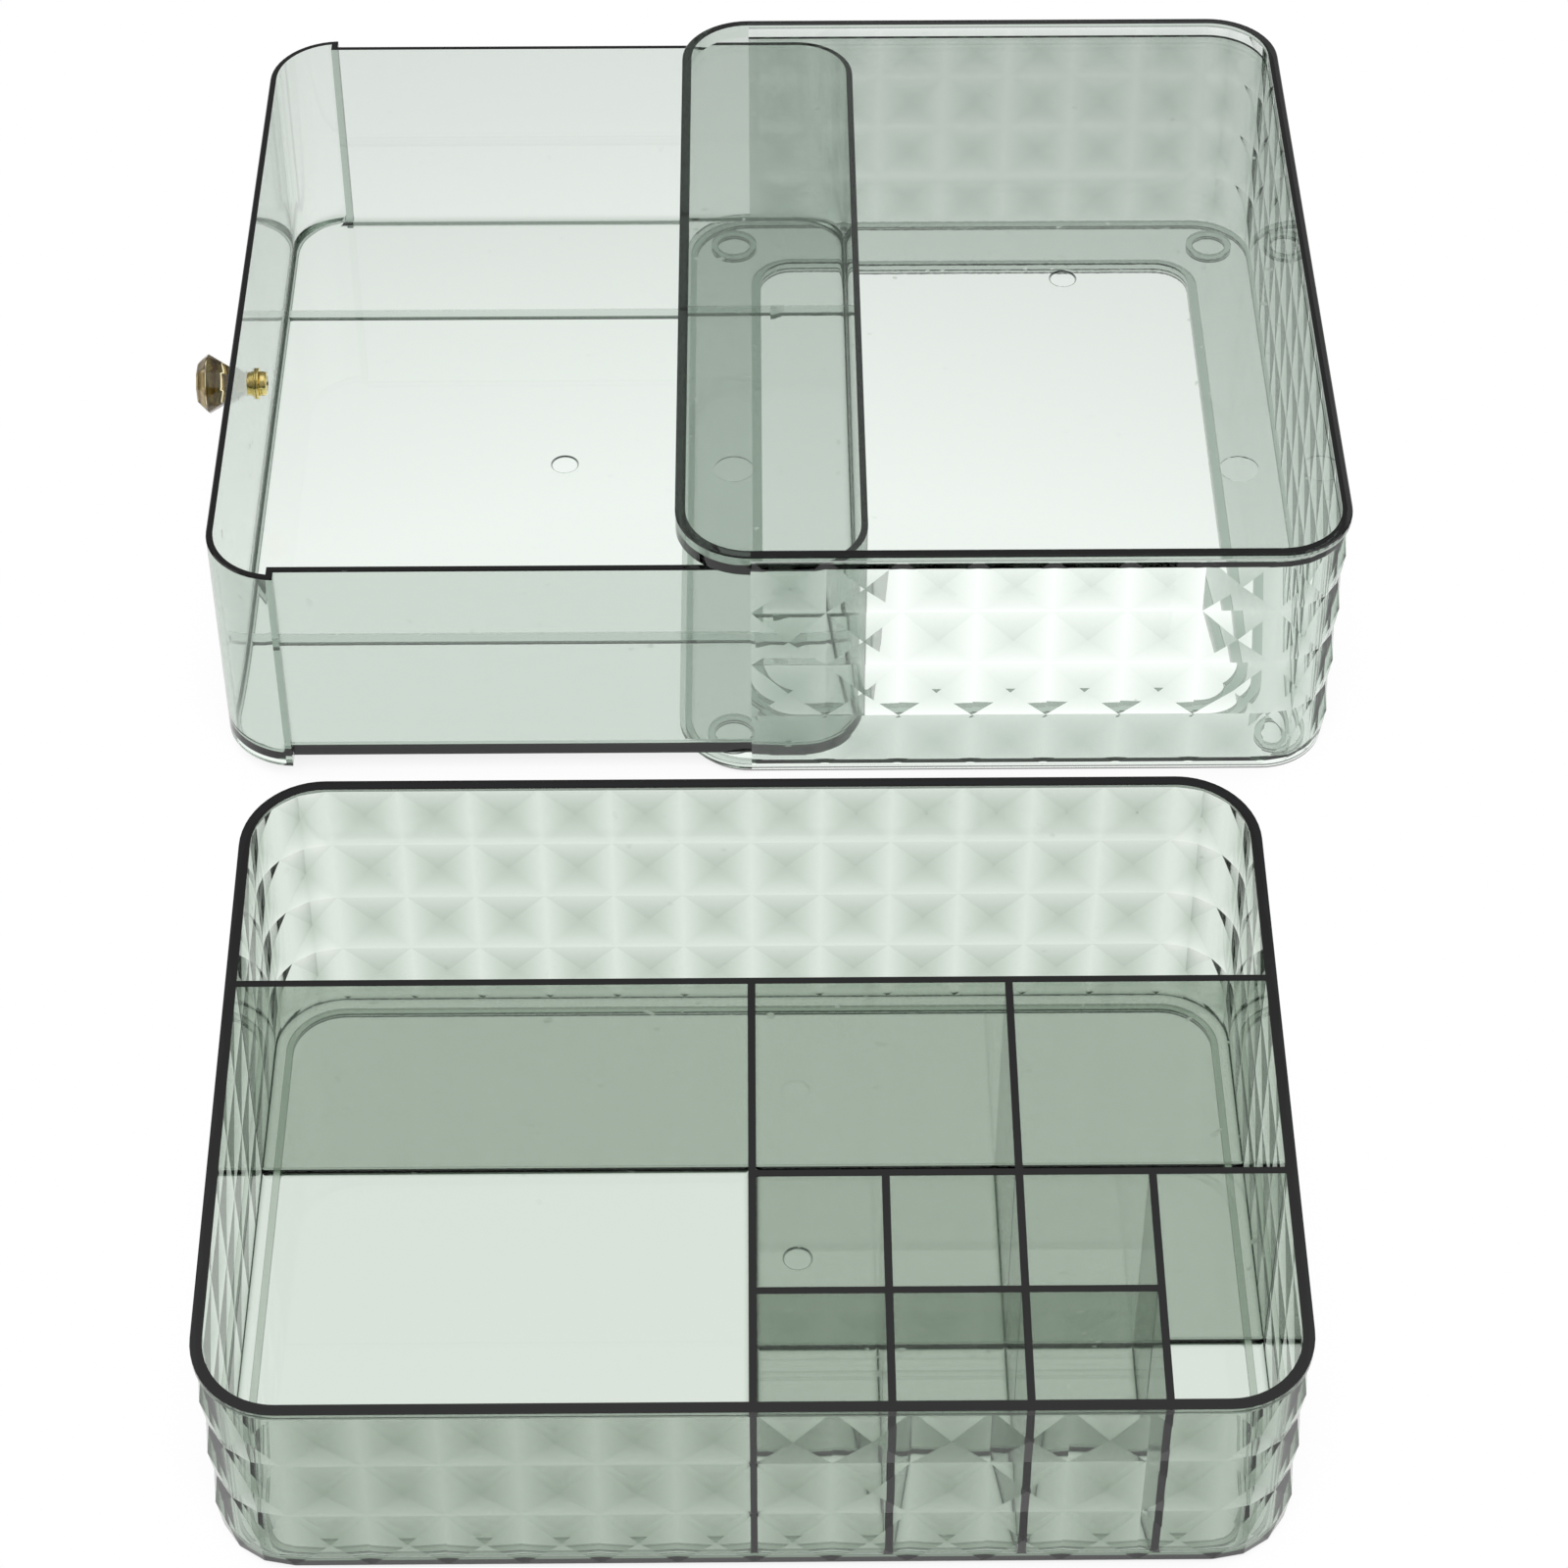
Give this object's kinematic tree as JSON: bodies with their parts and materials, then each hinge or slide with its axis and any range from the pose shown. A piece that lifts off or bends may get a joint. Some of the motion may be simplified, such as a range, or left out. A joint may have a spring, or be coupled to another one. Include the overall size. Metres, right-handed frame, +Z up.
{
  "type": "makeup drawer organizer",
  "caption": "Clear smoke-tinted makeup organizer: a faceted casing with a pull-out drawer on a crystal knob, and a compartment tray that lifts off and stacks on top.",
  "frame": {"origin": "on the table, under the middle of the bounding box of casing, open drawer and tray", "axes": "+X to the right, against the drawer's opening direction; +Y away from the viewer, from the tray to the casing; +Z up"},
  "size_m": [0.3842, 0.615, 0.0947],
  "materials": {
    "smoke_plastic": "clear, light grey smoke tint, glossy",
    "crystal": "clear, champagne, faceted",
    "gold": "polished"
  },
  "bodies": {
    "casing": {"casing_shell": "smoke_plastic"},
    "drawer": {"drawer_box": "smoke_plastic", "knob_crystal": "crystal", "knob_ferrule": "gold", "knob_screw": "gold", "knob_washer": "gold"},
    "tray": {"tray_shell": "smoke_plastic"}
  },
  "joints": [
    {"name": "drawer_slide", "type": "slide", "parent": "casing", "child": "drawer", "axis": [-1, 0, 0], "range_m": [-0.15, 0.003]},
    {"name": "tray_lift", "type": "slide", "parent": "casing", "child": "tray", "axis": [0, 0, 1], "range_m": [0, 0.12]}
  ]
}
